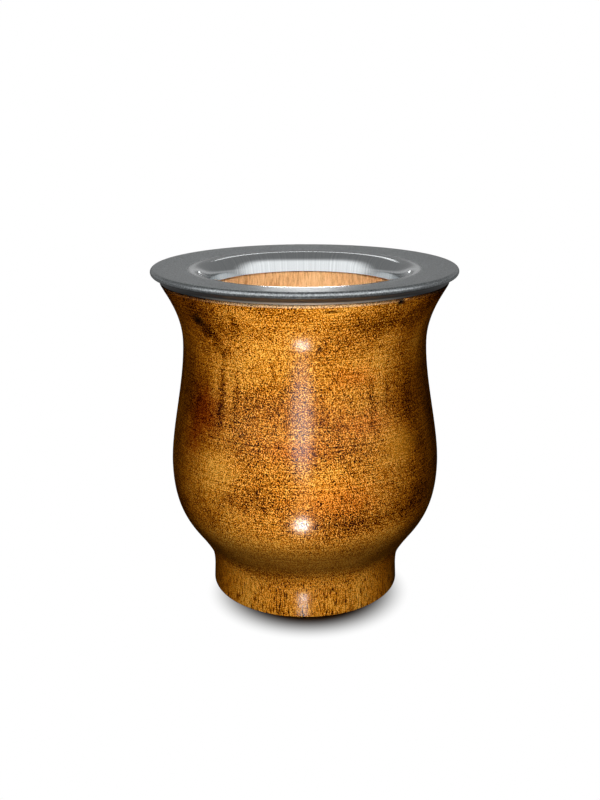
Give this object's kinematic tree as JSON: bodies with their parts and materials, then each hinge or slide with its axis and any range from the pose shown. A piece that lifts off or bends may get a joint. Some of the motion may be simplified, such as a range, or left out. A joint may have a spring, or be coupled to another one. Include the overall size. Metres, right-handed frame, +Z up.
{
  "type": "mate cup",
  "caption": "Turned wooden mate cup with a round belly, a narrow waist and a cove above its foot, and a wide spun steel collar with a rolled mouth over its lip.",
  "frame": {"origin": "middle of the standing face under the foot", "axes": "+Z up along the turning axis, through the mouth; +X and +Y across the cup"},
  "size_m": [0.09, 0.09, 0.1],
  "materials": {
    "wood": "stained and varnished outside, bare inside",
    "steel": "satin flange, polished throat and rim",
    "adhesive": "cured, clear amber"
  },
  "bodies": {
    "root": {"turned_body": "wood", "adhesive_bed": "adhesive", "steel_collar": "steel"}
  },
  "joints": []
}
